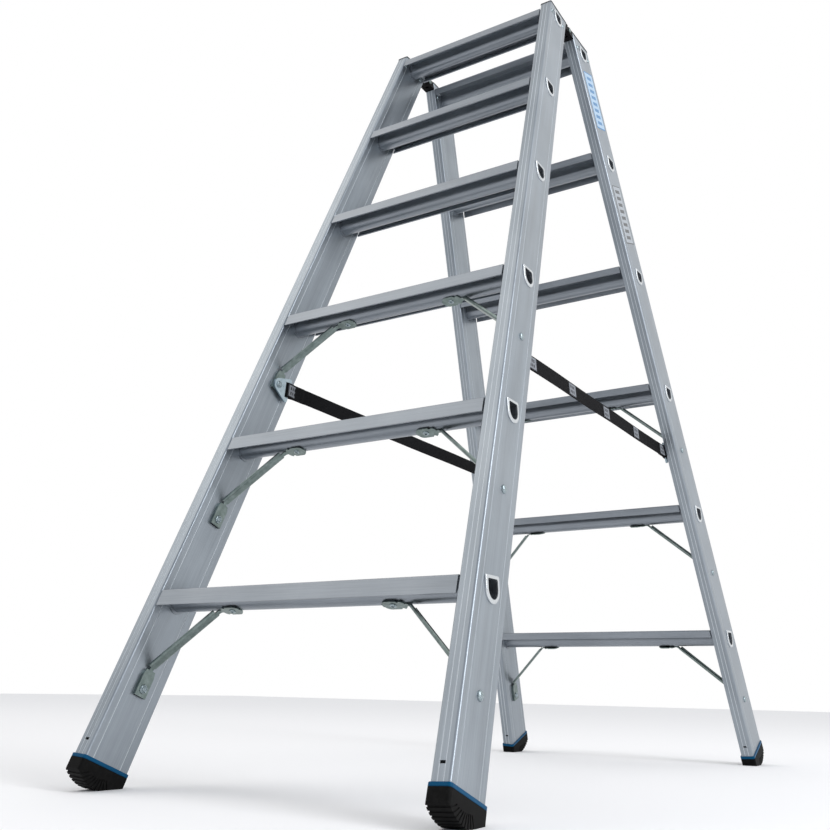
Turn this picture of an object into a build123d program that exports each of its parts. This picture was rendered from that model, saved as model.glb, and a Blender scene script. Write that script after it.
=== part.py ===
from build123d import *

import os
from math import atan, cos, radians, sin, tan

# Double-sided step ladder: two tapered sections of treads, hinged at the top and held open by
# two webbing straps. Millimetres. The origin is on the floor, midway between the four feet.
# X runs across the ladder, the front section stands at -Y, the rear section at +Y, Z is up.
# The front right corner is modelled; the other corners are its mirror images.

# ---------------------------------------------------------------- driving dimensions
# The two sections
tread_count = 6
tread_pitch = 250.0          # tread to tread, along the section
first_tread = 215.0          # from the lower end of the stile to the first tread
lean = radians(20.5)         # each section, from the vertical
splay = radians(3.3)         # each stile, from the middle line of its section
base_width = 546.0           # over both stiles, at their lower ends
head_room = 25.0             # stile top above the last tread tube, vertical
foot_height = 31.4           # lower end of the stile above the floor, along the section

# Stiles: hollow extrusions with fine grooves
stile_width = 23.4
stile_depth = 75.0
stile_wall = 1.5
stile_corner = 3.0
groove_depth = 0.3
groove_width = 0.9
face_grooves = (-22.5, 25.0)    # on the broad faces, measured out of the ladder
edge_grooves = (-3.5, 3.5)      # on the narrow faces

# Treads: a plate with two lips, and a D-shaped tube that goes through the stiles
tread_wall = 2.0
tread_top_wall = 2.6
tread_edge = 2.0
tread_inset = 0.5            # lips behind the faces of the stile
front_lip = 22.0             # lower edge of the outer lip below the tube centre
rear_lip = 13.0              # lower edge of the inner lip above the tube centre
tread_rib_pitch = 4.0
tread_rib_gap = 2.0
tread_rib_depth = 0.7
tread_border = 5.0           # plain strips along both edges of the ribbed surface
tread_gap = 1.5              # tread plate to stile, filled by the bead of the tube
tube_width = 27.5
tube_top = 12.5              # flat top of the tube above its centre; also the tread surface
tube_bottom = 15.0
tube_wall = 1.8
tube_corner = 2.5
tube_offset = 1.5            # tube centre out of the middle of the stile
tube_clearance = 0.1
flare_rim = 3.2              # flared ends of the tube, all round
flare_thickness = 2.0
bead_rim = 3.0

# Feet: a plug with a collar, and a rolled rubber sole
foot_proud = 2.0
collar_height = 4.5
plug_height = 34.0
plug_wall = 2.5
plug_clearance = 0.25
latch_width = 6.5            # slot of the stile for the nose of the plug
latch_height = 3.0
latch_sunk = 1.1             # nose behind the face of the stile
latch_up = 18.0
flat_length = 22.0           # straight lower edge of the sole, from its rear end
toe_inset = 2.0              # front corner of the sole behind the collar
toe_up = 26.4                # front corner of the sole above the floor, along the stile
floor_cut = 1.0              # cut off the sole, to level what stands on the floor
toe_roll = 11.0              # lift of the sole a quarter of its length behind the front
sole_groove = 1.3            # radius of the grooves across the toe
sole_groove_count = 9
side_groove = 0.9            # depth of the grooves on both sides of the toe
side_groove_width = 1.6
side_groove_run = 13.0       # their length, up from the rolled toe

# Braces: folded channels, bolted to the stile and riveted under the tread tube
braced_treads = 3
brace_width = 20.0
brace_sheet = 1.8
brace_flange = 4.5
brace_bend = 6.0
bolt_down = 120.5            # brace bolt below the tube centre, along the section
tab_below_bolt = 10.5
tab_above_bolt = 28.0
tab_taper = 12.0             # where the tab narrows to the diagonal
brace_run = 84.0             # from the stile to the bend under the tread
brace_pad = 38.0             # flat pad under the tread tube
flange_stop = 8.0            # flanges end before the bend under the tread
bolt_radius = 3.0
bolt_clearance = 0.2
bolt_head_radius = 5.6
bolt_head = 3.0
rivet_radius = 2.4
rivet_head_radius = 4.4
rivet_head = 1.8
rivet_on_pad = 24.0          # pad rivet from the bend
channel_width = 13.5         # the diagonal, folded into a rounded channel
channel_corner = 3.6
channel_stop = 3.0           # channel begins above the bend
pad_corner = 8.0
pad_notch = 2.6              # notches in both edges of the pad
notch_on_pad = 14.0          # notches from the bend

# Strap brackets and straps
bracket_sheet = 3.0
bracket_corner = 4.0
bracket_nose = 10.5          # rounded end round the bolt
bracket_top = (25.5, 12.0)   # corner centres from the bolt: into the ladder, up
bracket_bottom = (19.5, -21.5)
slot_in = 18.5               # middle of the strap slot, from the bolt into the ladder
slot_width = 4.6
strap_width = 25.0
strap_thickness = 1.8
strap_drop = 4.0             # strap centre below the bolt
strap_clearance = 0.7        # between the strap's loop and the bar of the bracket
strap_bar = 6.0              # bar of the bracket that the strap goes round
strap_loop = 14.0            # length of the loop
strap_doubled = 24.0         # stitched double length beside the loop

# Hinges at the top
pivot_gap = 16.5             # hinge axis to the inner face of each stile
pivot_drop = 6.5             # hinge axis below the stile tops
lug_radius = 8.0
lug_share = 0.36             # width of the middle lug, of the stile's width
lug_gap = 0.4
pin_radius = 3.0
pin_clearance = 0.05
pin_head_radius = 5.0
pin_head = 2.0
leaf_sheet = 3.0
leaf_gap = 0.3
leaf_below = 24.0            # hinge leaf below the last tread tube
leaf_edge = 3.0              # hinge leaf inside the stile's narrow walls
rivet_side = 28.0            # hinge rivets beside the last tread tube
cap_thickness = 2.0
cap_proud = 0.6
cap_plug = 9.0

# Two plain stickers on the rear right stile
label_thickness = 0.2
label_spans = ((821.0, 949.0), (1077.0, 1206.0))   # above the first tread tube
label_width = 50.0

# ---------------------------------------------------------------- derived positions
half_across = stile_width / 2 / cos(splay)
first_tube = foot_height + first_tread
last_tube = first_tube + (tread_count - 1) * tread_pitch
top_height = last_tube * cos(lean) + tube_offset * sin(lean) + head_room
pivot_height = top_height - pivot_drop
section_foot = pivot_height * tan(lean) + (stile_depth / 2 + pivot_gap) / cos(lean)
hinge_up = (pivot_height + stile_depth / 2 * sin(lean)) / cos(lean)
tube_radius = tube_width / 2
tube_round = tube_bottom - tube_radius
pad_drop = tube_round * cos(lean) + tube_radius
notch_reach = (pivot_gap + 2 * stile_wall) / cos(lean) + lug_radius * tan(lean)
reach = 2 * base_width       # longer than anything that is cut or trimmed
tip_depth = brace_flange / 100

section_up = Vector(0, sin(lean), cos(lean))
section_out = Vector(0, -cos(lean), sin(lean))
stile_up = Vector(-sin(splay), cos(splay) * sin(lean), cos(splay) * cos(lean))
stile_side = Vector(cos(splay), sin(splay) * sin(lean), sin(splay) * cos(lean))


def section_point(x, up, out=0.0):
    """Point of the front section: x across, up along its middle plane, out of that plane."""
    return Vector(x, -section_foot, 0) + section_up * up + section_out * out


def stile_centre(up):
    """Distance of the stile's centre line from the middle of the ladder."""
    return base_width / 2 - half_across - (up - foot_height) * tan(splay)


def inner_face(up):
    """Distance of the stile's inner face from the middle of the ladder."""
    return stile_centre(up) - half_across


def tube_up(number):
    """Height of a tread tube along the section; number counts from 1 at the bottom."""
    return first_tube + (number - 1) * tread_pitch


def bolt_up(number):
    """Height of the bolt of a tread's brace along the section."""
    return tube_up(number) - bolt_down


# Workplanes of the front right corner
stile_foot = section_point(stile_centre(foot_height), foot_height)
stile_end = Plane(origin=stile_foot, x_dir=stile_side, z_dir=stile_up)
stile_profile = Plane(origin=stile_foot, x_dir=-section_out, z_dir=stile_side)
section_plane = Plane(origin=section_point(0, 0), x_dir=(1, 0, 0), z_dir=section_out)


def across_plane(x, number):
    """Upright plane along Y through a tread tube's centre, X into the ladder."""
    centre = section_point(x, tube_up(number), tube_offset)
    return Plane(origin=centre, x_dir=(0, 1, 0), z_dir=(1, 0, 0))


def face_plane(outward, hand=1):
    """Plane along a stile, a distance outward from its inner face; hand -1 is the left one."""
    origin = stile_foot + stile_side * (outward - stile_width / 2)
    normal = Vector(hand * stile_side.X, stile_side.Y, stile_side.Z)
    return Plane(origin=(hand * origin.X, origin.Y, origin.Z), z_dir=normal)


def bolt_plane(number, outward):
    """Plane across a brace bolt, a distance outward from the stile's inner face."""
    centre = section_point(stile_centre(bolt_up(number)), bolt_up(number))
    origin = centre + stile_side * (outward - stile_width / 2)
    return Plane(origin=origin, x_dir=(0, 1, 0), z_dir=stile_side)


def rivet_plane(outward):
    """Plane across the hinge rivets; X into the ladder, level with the last tread tube."""
    centre = section_point(stile_centre(last_tube), last_tube, tube_offset)
    origin = centre + stile_side * (outward - stile_width / 2)
    return Plane(origin=origin, x_dir=(0, 1, 0), z_dir=stile_side)


def pad_x(number):
    """Distance of the brace's bend under the tread from the middle of the ladder."""
    return inner_face(tube_up(number)) - brace_run


def pad_plane(number, below=0.0):
    """Plane of a brace pad's upper side, or below it; Z along the section."""
    origin = section_point(0, tube_up(number) - pad_drop - below)
    return Plane(origin=origin, x_dir=(1, 0, 0), z_dir=section_up)


# ---------------------------------------------------------------- writing the pieces
os.makedirs("parts", exist_ok=True)


def write(part, name):
    part.label = name
    export_step(part, f"parts/{name}.step")


def write_both_ends(part, name):
    """A piece of the front section, and its twin in the rear section."""
    with BuildPart() as rear:
        mirror(part, about=Plane.XZ)
    write(part, f"front_{name}")
    write(rear.part, f"rear_{name}")


def write_corners(part, name):
    """A piece of the front right corner, and its twins in the other corners."""
    with BuildPart() as left:
        mirror(part, about=Plane.YZ)
    write_both_ends(part, f"right_{name}")
    write_both_ends(left.part, f"left_{name}")


def write_groups(part, name):
    """Fasteners of the front right corner: one group in each section."""
    with BuildPart() as group:
        add(part)
        mirror(part, about=Plane.YZ)
    write_both_ends(group.part, name)


# ---------------------------------------------------------------- shared outlines
def d_outline(rim, top_rim):
    """Outline of the tread tube, grown by rim: flat top, straight sides and a round bottom."""
    half = tube_radius + rim
    top = tube_top + top_rim
    with BuildSketch() as sketch:
        with BuildLine():
            Polyline((-half, -tube_round), (-half, top), (half, top), (half, -tube_round))
            ThreePointArc((half, -tube_round), (0, -tube_round - half), (-half, -tube_round))
        make_face()
        fillet(sketch.vertices().group_by(Axis.Y)[-1], tube_corner)
    return sketch.sketch


def in_tread(up, out):
    """Sketch point of a tread, from distances along and out of the section."""
    return (up * sin(lean) - out * cos(lean), up * cos(lean) + out * sin(lean))


def under_surface(depth, out):
    """Sketch point a depth under the tread's surface, a distance out of the section."""
    return in_tread((tube_top - depth - out * sin(lean)) / cos(lean), out)


def between_stiles(outline, number, outward):
    """Extrude an outline across the ladder and trim both ends along the stiles."""
    with BuildPart() as blank:
        with BuildSketch(across_plane(0, number)):
            add(outline)
        extrude(amount=reach, both=True)
        for hand in (1, -1):
            split(bisect_by=face_plane(outward, hand), keep=Keep.BOTTOM)
    return blank.part


def end_rings(outline, number, inner, outer):
    """Rings of an outline at both stiles, from inner to outer beyond their inner faces."""
    with BuildPart() as rings:
        add(between_stiles(outline, number, outer))
        add(between_stiles(outline, number, inner), mode=Mode.SUBTRACT)
    return rings.part


# ---------------------------------------------------------------- stiles
with BuildPart() as stile:
    with BuildSketch(stile_end):
        RectangleRounded(stile_width, stile_depth, stile_corner)
        hollow = (stile_width - 2 * stile_wall, stile_depth - 2 * stile_wall)
        RectangleRounded(*hollow, stile_corner - stile_wall, mode=Mode.SUBTRACT)
        for side in (-1, 1):
            with Locations(*[(side * stile_width / 2, -out) for out in face_grooves]):
                Rectangle(2 * groove_depth, groove_width, mode=Mode.SUBTRACT)
            with Locations(*[(x, side * stile_depth / 2) for x in edge_grooves]):
                Rectangle(groove_width, 2 * groove_depth, mode=Mode.SUBTRACT)
    extrude(amount=last_tube + tread_pitch)
    split(bisect_by=Plane.XY.offset(top_height), keep=Keep.BOTTOM)

    # Holes of the tread tubes, brace bolts and hinge rivets
    for number in range(1, tread_count + 1):
        with BuildSketch(across_plane(stile_centre(tube_up(number)), number)):
            add(d_outline(tube_clearance, tube_clearance))
        extrude(amount=stile_width, both=True, mode=Mode.SUBTRACT)
    for number in range(1, braced_treads + 1):
        with BuildSketch(bolt_plane(number, 0)):
            Circle(bolt_radius + bolt_clearance)
        extrude(amount=2 * stile_width, both=True, mode=Mode.SUBTRACT)
    with BuildSketch(rivet_plane(stile_width / 2)):
        with Locations((-rivet_side, 0), (rivet_side, 0)):
            Circle(rivet_radius + bolt_clearance)
    extrude(amount=stile_width, both=True, mode=Mode.SUBTRACT)

    # Slots for the latch of the foot, and the notch that the hinge leaf comes out of
    with BuildSketch(stile_end.offset(latch_up)):
        Rectangle(latch_width, stile_depth + 2)
    extrude(amount=latch_height / 2, both=True, mode=Mode.SUBTRACT)
    with BuildSketch(Plane((stile_centre(hinge_up), 0, pivot_height))):
        with Locations((0, -notch_reach / 2)):
            Rectangle(stile_width - 2 * stile_wall, notch_reach)
    extrude(amount=lug_radius, both=True, mode=Mode.SUBTRACT)

write_corners(stile.part, "stile")

# ---------------------------------------------------------------- treads
lip_out = stile_depth / 2 - tread_inset - tube_offset
lip_in = -(stile_depth / 2 - tread_inset + tube_offset)
surface_front = under_surface(0, lip_out)[0]
surface_rear = under_surface(0, lip_in)[0]
rib_count = int((surface_rear - surface_front - 2 * tread_border) / tread_rib_pitch)

with BuildSketch() as tread_plate:
    with BuildLine():
        Polyline(
            in_tread(-front_lip, lip_out),
            under_surface(0, lip_out),
            under_surface(0, lip_in),
            in_tread(rear_lip, lip_in),
            in_tread(rear_lip, lip_in + tread_wall),
            under_surface(tread_top_wall, lip_in + tread_wall),
            under_surface(tread_top_wall, lip_out - tread_wall),
            in_tread(-front_lip, lip_out - tread_wall),
            close=True,
        )
    make_face()
    fillet(tread_plate.vertices().group_by(Axis.Y)[-1], tread_edge)
    with Locations(((surface_front + surface_rear) / 2, tube_top)):
        with GridLocations(tread_rib_pitch, 0, rib_count, 1):
            Rectangle(tread_rib_gap, 2 * tread_rib_depth, mode=Mode.SUBTRACT)

tube_outline = d_outline(0, -tread_rib_depth)
bead_outline = d_outline(bead_rim, 0)
flare_outline = d_outline(flare_rim, flare_rim / 2)
bore_outline = d_outline(-tube_wall, -tread_top_wall)


def make_tread(number):
    """One tread: its tube goes through both stiles and is flared outside them."""
    with BuildPart() as flares:
        add(end_rings(flare_outline, number, stile_width, stile_width + flare_thickness))
        for direction in (Axis.X, -Axis.X):
            rim = flares.faces().sort_by(direction)[-1].outer_wire().edges()
            fillet(rim, flare_thickness * 0.7)
    with BuildPart() as tread:
        add(between_stiles(tread_plate.sketch, number, -tread_gap))
        add(between_stiles(tube_outline, number, stile_width + flare_thickness / 2))
        add(end_rings(bead_outline, number, -tread_gap, 0))
        add(flares.part)
        with BuildSketch(across_plane(0, number)):
            add(bore_outline)
        extrude(amount=reach, both=True, mode=Mode.SUBTRACT)
        if number <= braced_treads:
            rivet_x = pad_x(number) - rivet_on_pad
            with BuildSketch(pad_plane(number)):
                with Locations((rivet_x, 0), (-rivet_x, 0)):
                    Circle(rivet_radius + bolt_clearance)
            extrude(amount=tube_radius / 2, both=True, mode=Mode.SUBTRACT)
    return tread.part


for number in range(1, tread_count + 1):
    write_both_ends(make_tread(number), f"tread_{number}")

# ---------------------------------------------------------------- feet
foot_size = (stile_width + 2 * foot_proud, stile_depth + 2 * foot_proud)
foot_front = -(stile_depth / 2 + foot_proud)
plug_size = (hollow[0] - 2 * plug_clearance, hollow[1] - 2 * plug_clearance)


def floor_line(inward):
    """Height of the floor in the stile's profile plane, a distance into the ladder."""
    return (inward * sin(lean) - stile_foot.Z) / (cos(splay) * cos(lean))


with BuildPart() as collar:
    with BuildSketch(stile_end):
        RectangleRounded(*foot_size, stile_corner + foot_proud / 2)
    extrude(amount=-collar_height)
    top_edges = collar.faces().sort_by(Axis.Z)[-1].outer_wire().edges()
    chamfer(top_edges, foot_proud / 3)
    with BuildSketch(stile_end):
        RectangleRounded(*plug_size, stile_corner - stile_wall)
        Rectangle(plug_size[0] - 2 * plug_wall, plug_size[1] - 2 * plug_wall, mode=Mode.SUBTRACT)
    extrude(amount=plug_height)
    with BuildSketch(stile_end.offset(latch_up)):
        for side in (-1, 1):
            with Locations((0, side * (stile_depth / 2 - stile_wall - latch_sunk))):
                Rectangle(latch_width - plug_clearance, 2 * stile_wall)
    extrude(amount=(latch_height - plug_clearance) / 2, both=True)

write_corners(collar.part, "foot_collar")

toe = (foot_front + toe_inset, floor_line(foot_front + toe_inset) + toe_up)
toe_middle = (foot_front / 2, floor_line(foot_front / 2) + toe_roll)
heel = (-foot_front, floor_line(-foot_front) - floor_cut)
flat_end = (-foot_front - flat_length, floor_line(-foot_front - flat_length) - floor_cut)

with BuildPart() as sole:
    with BuildSketch(stile_profile):
        with BuildLine():
            rolled_toe = ThreePointArc(flat_end, toe_middle, toe)
            shoulder = (foot_front, toe[1] + toe_inset)
            Polyline(toe, shoulder, (foot_front, -collar_height))
            Polyline((foot_front, -collar_height), (-foot_front, -collar_height), heel, flat_end)
        make_face()
        grooves = [rolled_toe @ ((k + 0.5) / sole_groove_count) for k in range(sole_groove_count)]
        with Locations(*grooves):
            Circle(sole_groove, mode=Mode.SUBTRACT)
    extrude(amount=foot_size[0] / 2, both=True)
    with BuildSketch(stile_end):
        RectangleRounded(*foot_size, stile_corner + foot_proud / 2)
    extrude(amount=-reach, mode=Mode.INTERSECT)
    for side in (-1, 1):
        with BuildSketch(stile_profile.offset(side * foot_size[0] / 2)):
            for spot in grooves:
                inward = Vector(0, -collar_height) - Vector(spot.X, spot.Y)
                end = Vector(spot.X, spot.Y) + inward.normalized() * side_groove_run
                with BuildLine():
                    Line((spot.X, spot.Y), (end.X, end.Y))
                trace(line_width=side_groove_width)
        extrude(amount=side_groove, both=True, mode=Mode.SUBTRACT)
    split(bisect_by=Plane.XY, keep=Keep.TOP)

write_corners(sole.part, "foot_sole")


# ---------------------------------------------------------------- braces
def brace_path(number, depth):
    """Corners of a brace, a depth from the stile's face and from the diagonal's outer side."""
    tab_low = bolt_up(number) - tab_below_bolt
    tab_high = bolt_up(number) + tab_above_bolt
    start = Vector(inner_face(tab_low), tab_low)
    bend = Vector(inner_face(tab_high), tab_high)
    pad = Vector(pad_x(number) + brace_flange * sin(radians(45)), tube_up(number) - pad_drop)
    run = (pad - bend).normalized()
    rise = (bend - start).normalized()
    side = Vector(rise.Y, -rise.X) * -depth
    under = Vector(run.Y, -run.X) * -depth
    mitre = (side + under) / (1 + side.dot(under) / depth ** 2)
    return start + side, bend + mitre, pad + under, run


def channel_plane(number):
    """Plane across the diagonal of a brace, at the tips of its flanges; Y towards its web."""
    tip, run = brace_path(number, tip_depth)[1::2]
    web = brace_path(number, brace_flange)[1]
    origin = section_plane.from_local_coords(tip + run * channel_stop)
    along = section_plane.from_local_coords(run) - section_plane.origin
    to_web = section_plane.from_local_coords(web - tip) - section_plane.origin
    to_web -= along * to_web.dot(along)
    return Plane(origin, x_dir=to_web.cross(along), z_dir=along)


def make_brace(number):
    """A folded strip: a tray on the stile, a rounded channel, and a pad under the tread tube."""
    start, bend, pad, run = brace_path(number, brace_flange - brace_sheet / 2)
    pad_level = tube_up(number) - pad_drop - brace_sheet / 2
    pad_start = pad + run * ((pad_level - pad.Y) / run.Y)
    pad_end = Vector(pad_start.X - brace_pad, pad_level)
    rise = (bend - start).normalized()
    with BuildPart() as brace:
        with BuildSketch(section_plane):
            with BuildLine():
                FilletPolyline(start, bend, pad_start, pad_end, radius=brace_bend)
            trace(line_width=brace_sheet)
        extrude(amount=channel_width / 2 - channel_corner, both=True)

        # Tray on the stile
        with BuildSketch(section_plane):
            with BuildLine():
                Line(start, bend - rise * brace_bend / 2)
            trace(line_width=brace_sheet)
        extrude(amount=brace_width / 2, both=True)
        flange_start, flange_bend = brace_path(number, brace_flange / 2)[:2]
        for side in (-1, 1):
            with BuildSketch(section_plane.offset(side * (brace_width - brace_sheet) / 2)):
                with BuildLine():
                    Line(flange_start, flange_bend - rise * brace_bend / 2)
                trace(line_width=brace_flange)
            extrude(amount=brace_sheet / 2, both=True)

        # The tab narrows to the width of the diagonal
        tab_edge = brace_width / 2
        bolt_at = bolt_plane(number, 0).origin
        shoulders = Plane(origin=bolt_at, x_dir=-section_out, z_dir=stile_side)
        for side in (-1, 1):
            with BuildSketch(shoulders):
                with BuildLine():
                    Polyline(
                        (side * tab_edge, tab_above_bolt - tab_taper),
                        (side * channel_width / 2, tab_above_bolt),
                        (side * 2 * tab_edge, tab_above_bolt),
                        (side * 2 * tab_edge, tab_above_bolt - tab_taper),
                        close=True,
                    )
                make_face()
            extrude(amount=-2 * brace_flange, mode=Mode.SUBTRACT)

        # Channel of the diagonal
        channel_inside = channel_width - 2 * brace_sheet
        web_inside = brace_flange - brace_sheet
        with BuildSketch(channel_plane(number)):
            RectangleRounded(channel_width, 2 * brace_flange, channel_corner)
            RectangleRounded(
                channel_inside, 2 * web_inside, channel_corner - brace_sheet, mode=Mode.SUBTRACT
            )
            with Locations((0, brace_flange / 2)):
                Rectangle(channel_width, brace_flange, mode=Mode.INTERSECT)
        extrude(amount=(pad_start - bend).length - flange_stop)

        # Pad under the tread tube, notched on both edges
        with BuildSketch(pad_plane(number)):
            with Locations((pad_x(number) - brace_bend / 2 - brace_pad / 2, 0)):
                RectangleRounded(brace_pad - brace_bend, brace_width, pad_corner)
            for side in (-1, 1):
                with Locations((pad_x(number) - notch_on_pad, side * brace_width / 2)):
                    Circle(pad_notch, mode=Mode.SUBTRACT)
        extrude(amount=-brace_sheet)

        with BuildSketch(bolt_plane(number, 0)):
            Circle(bolt_head_radius)
        extrude(amount=-brace_flange)
        with BuildSketch(bolt_plane(number, 0)):
            Circle(bolt_radius + bolt_clearance)
        extrude(amount=-2 * brace_flange, mode=Mode.SUBTRACT)
        with BuildSketch(pad_plane(number)):
            with Locations((pad_x(number) - rivet_on_pad, 0)):
                Circle(rivet_radius + bolt_clearance)
        extrude(amount=-2 * brace_flange, mode=Mode.SUBTRACT)
    return brace.part


for number in range(1, braced_treads + 1):
    write_corners(make_brace(number), f"brace_{number}")


# ---------------------------------------------------------------- bolts and rivets
def dome(plane, radius, height, direction):
    """A round head on a plane, its free edge rounded."""
    with BuildPart() as head:
        with BuildSketch(plane):
            Circle(radius)
        extrude(amount=direction * height)
        free = head.faces().filter_by(GeomType.PLANE).sort_by_distance(plane.origin)[-1]
        fillet(free.edges(), height * 0.8)
    return head.part


with BuildPart() as brace_bolts:
    for number in range(1, braced_treads + 1):
        grip = brace_flange + (bracket_sheet if number == braced_treads else 0)
        with BuildSketch(bolt_plane(number, -grip)):
            Circle(bolt_radius)
        extrude(amount=grip + stile_width)
        add(dome(bolt_plane(number, stile_width), bolt_head_radius, bolt_head, 1))
        add(dome(bolt_plane(number, -grip), bolt_head_radius, bolt_head, -1))

write_groups(brace_bolts.part, "brace_bolts")

with BuildPart() as brace_rivets:
    for number in range(1, braced_treads + 1):
        rivet_at = Vector(pad_x(number) - rivet_on_pad, 0, 0)
        under_pad = pad_plane(number, brace_sheet)
        under_pad = Plane(under_pad.origin + rivet_at, x_dir=(1, 0, 0), z_dir=section_up)
        with BuildSketch(under_pad):
            Circle(rivet_radius)
        extrude(amount=brace_sheet + tube_wall + rivet_head / 2)
        add(dome(under_pad, rivet_head_radius, rivet_head, -1))

write_groups(brace_rivets.part, "brace_rivets")

# ---------------------------------------------------------------- strap brackets and straps
bracket_face = bolt_plane(braced_treads, -brace_flange)
bar_start = slot_in + slot_width / 2
bar_end = bar_start + strap_bar

with BuildPart() as bracket:
    with BuildSketch(bracket_face):
        corners = ((0, 0), bracket_top, (bar_end - bracket_corner, -strap_drop), bracket_bottom)
        with BuildLine():
            Polyline(*corners, close=True)
        make_face()
        offset(amount=bracket_corner)
        Circle(bracket_nose)
        make_hull()
        with Locations((slot_in, -strap_drop)):
            Rectangle(slot_width, strap_width + 2 * strap_clearance, mode=Mode.SUBTRACT)
        Circle(bolt_radius + bolt_clearance, mode=Mode.SUBTRACT)
    extrude(amount=-bracket_sheet)

write_corners(bracket.part, "strap_bracket")

# The strap lies in the plane of the brackets' plates, along Y
strap_tilt = atan(tan(splay) * cos(lean))
strap_end = bracket_face.offset(-bracket_sheet / 2).from_local_coords((bar_start, -strap_drop))
strap_profile = Plane(
    origin=(strap_end.X, 0, strap_end.Z),
    x_dir=(0, 1, 0),
    z_dir=(-sin(strap_tilt), 0, cos(strap_tilt)),
)
loop_height = bracket_sheet + 2 * (strap_clearance + strap_thickness)
loop_start = strap_end.Y - strap_clearance - strap_thickness
loop_length = strap_loop + 2 * strap_thickness

with BuildPart() as strap:
    with BuildSketch(strap_profile):
        Rectangle(-2 * loop_start - 2 * loop_length, strap_thickness)
        for side in (-1, 1):
            with Locations((-side * (loop_start + loop_length / 2), 0)):
                RectangleRounded(loop_length, loop_height, strap_thickness)
            with Locations((-side * (loop_start + loop_length + strap_doubled / 2), 0)):
                Rectangle(strap_doubled + strap_thickness, 2 * strap_thickness)
            with Locations((-side * (loop_start + loop_length / 2), 0)):
                Rectangle(
                    strap_loop, loop_height - 2 * strap_thickness, mode=Mode.SUBTRACT
                )
    extrude(amount=strap_width / 2, both=True)

write(strap.part, "right_strap")
with BuildPart() as left_strap:
    mirror(strap.part, about=Plane.YZ)
write(left_strap.part, "left_strap")

# ---------------------------------------------------------------- hinges
hinge_x = stile_centre(hinge_up)
lug_width = lug_share * stile_width
stile_back = Plane(section_point(0, 0, -stile_depth / 2 - leaf_gap), z_dir=section_out)
pivot_plane = Plane((hinge_x, 0, pivot_height), x_dir=(0, 1, 0), z_dir=(1, 0, 0))
tenon_low = pivot_height - last_tube * cos(lean) - tube_offset * sin(lean) - tube_top
tenon_low = -(tenon_low - 2 * leaf_gap)
tenon_back = pivot_gap / cos(lean) + stile_depth / 4


def make_leaf(middle_lug):
    """Half a hinge, set in the front right stile: one middle lug, or two outer ones."""
    side_width = (stile_width - lug_width) / 2 - lug_gap
    side_x = (stile_width - side_width) / 2
    lugs = [(0, lug_width)] if middle_lug else [(-side_x, side_width), (side_x, side_width)]
    with BuildPart() as block:
        with BuildSketch(pivot_plane):
            with Locations((-lug_radius - lug_gap - reach / 2, 0)):
                Rectangle(reach, 2 * lug_radius)
        extrude(amount=stile_width / 2, both=True)
        for x, width in lugs:
            with BuildSketch(pivot_plane.offset(x)):
                Circle(lug_radius)
                with Locations((-lug_radius, 0)):
                    Rectangle(2 * lug_radius, 2 * lug_radius)
            extrude(amount=width / 2, both=True)
        split(bisect_by=stile_back, keep=Keep.BOTTOM)
    with BuildPart() as leaf:
        with BuildSketch(stile_profile.offset(stile_width / 2 - stile_wall - leaf_gap)):
            leaf_low = (last_tube - foot_height - leaf_below) / cos(splay)
            with Locations((0, leaf_low)):
                leaf_size = (stile_depth - 2 * stile_wall - 2 * leaf_edge, reach)
                Rectangle(*leaf_size, align=(Align.CENTER, Align.MIN))
        extrude(amount=-leaf_sheet)
        split(bisect_by=Plane.XY.offset(top_height - cap_plug - leaf_gap), keep=Keep.BOTTOM)
        with BuildSketch(across_plane(stile_centre(last_tube), tread_count)):
            add(d_outline(tube_clearance, tube_clearance))
        extrude(amount=stile_width, both=True, mode=Mode.SUBTRACT)
        with BuildSketch(rivet_plane(stile_width / 2)):
            with Locations((-rivet_side, 0), (rivet_side, 0)):
                Circle(rivet_radius + bolt_clearance)
        extrude(amount=stile_width, mode=Mode.SUBTRACT)
        with BuildSketch(pivot_plane):
            with BuildLine():
                tenon_top = pivot_drop - leaf_gap
                Polyline(
                    (-tenon_back, tenon_low),
                    (-lug_radius - lug_gap, tenon_low),
                    (-lug_radius - lug_gap, tenon_top),
                    (-tenon_back, tenon_top),
                    close=True,
                )
            make_face()
        tenon_half = stile_width / 2 - stile_wall - leaf_gap - lug_radius * tan(splay)
        extrude(amount=tenon_half, both=True)
        add(block.part)
        with BuildSketch(pivot_plane):
            Circle(pin_radius + pin_clearance)
        extrude(amount=stile_width, both=True, mode=Mode.SUBTRACT)
    return leaf.part


def write_hinge(part, name, end):
    """The right piece of a hinge in the front or rear section, and its left twin."""
    with BuildPart() as right:
        if end == "rear":
            mirror(part, about=Plane.XZ)
        else:
            add(part)
    with BuildPart() as left:
        mirror(right.part, about=Plane.YZ)
    write(right.part, f"{end}_right_{name}")
    write(left.part, f"{end}_left_{name}")


write_hinge(make_leaf(True), "hinge_leaf", "front")
write_hinge(make_leaf(False), "hinge_leaf", "rear")

with BuildPart() as pin:
    with BuildSketch(pivot_plane):
        Circle(pin_radius)
    extrude(amount=stile_width / 2 + lug_gap, both=True)
    for direction in (-1, 1):
        head_plane = pivot_plane.offset(direction * (stile_width / 2 + lug_gap))
        add(dome(head_plane, pin_head_radius, pin_head, direction))
with BuildPart() as left_pin:
    mirror(pin.part, about=Plane.YZ)
write(pin.part, "right_hinge_pin")
write(left_pin.part, "left_hinge_pin")

with BuildPart() as hinge_rivets:
    for side in (-rivet_side, rivet_side):
        rivet_origin = rivet_plane(stile_width).from_local_coords((side, 0))
        rivet_seat = Plane(rivet_origin, x_dir=(0, 1, 0), z_dir=stile_side)
        with BuildSketch(rivet_seat):
            Circle(rivet_radius)
        extrude(amount=-stile_width)
        add(dome(rivet_seat, rivet_head_radius, rivet_head, 1))
        add(dome(rivet_seat.offset(-stile_width), rivet_head_radius, rivet_head, -1))

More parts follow.
